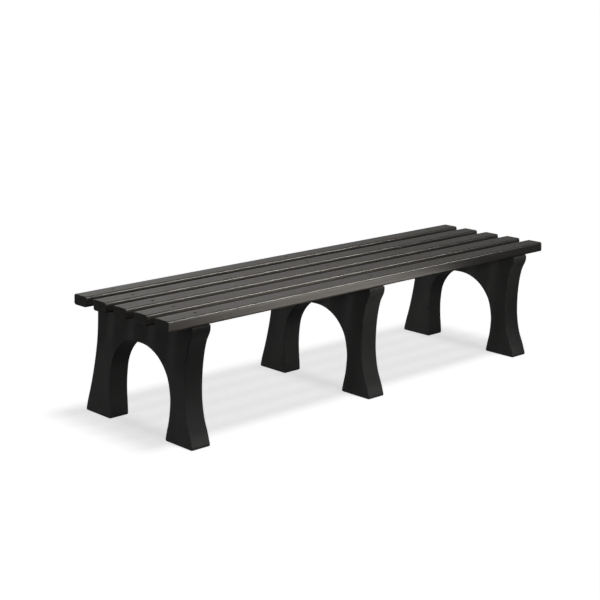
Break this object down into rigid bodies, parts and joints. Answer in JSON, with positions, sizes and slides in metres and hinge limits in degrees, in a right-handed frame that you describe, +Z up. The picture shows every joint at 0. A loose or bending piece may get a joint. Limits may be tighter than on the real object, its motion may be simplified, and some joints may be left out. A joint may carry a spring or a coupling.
{
  "type": "backless bench",
  "caption": "Backless park bench: long plank slats with open gaps, screwed down onto thick moulded arch legs with flared feet.",
  "frame": {"origin": "on the floor, at the middle of the bench's outline seen from above", "axes": "+X along the bench, from its left end to its right end seen from the front; +Z up; the front, where the legs have their nose, faces -Y"},
  "size_m": [2, 0.6182, 0.46],
  "materials": {
    "slat_plastic": "extruded recycled plastic plank, grey-brown, satin, faint lengthwise grain",
    "leg_plastic": "moulded recycled plastic, near black, satin",
    "screw_steel": "stainless steel, turned, slightly dulled"
  },
  "bodies": {
    "root": {"slat_front": "slat_plastic", "slat_front_inner": "slat_plastic", "slat_centre": "slat_plastic", "slat_back_inner": "slat_plastic", "slat_back": "slat_plastic", "leg_left": "leg_plastic", "leg_middle": "leg_plastic", "leg_right": "leg_plastic", "screw_left_front": "screw_steel", "screw_left_front_inner": "screw_steel", "screw_left_centre": "screw_steel", "screw_left_back_inner": "screw_steel", "screw_left_back": "screw_steel", "screw_middle_front": "screw_steel", "screw_middle_front_inner": "screw_steel", "screw_middle_centre": "screw_steel", "screw_middle_back_inner": "screw_steel", "screw_middle_back": "screw_steel", "screw_right_front": "screw_steel", "screw_right_front_inner": "screw_steel", "screw_right_centre": "screw_steel", "screw_right_back_inner": "screw_steel", "screw_right_back": "screw_steel"}
  },
  "joints": []
}
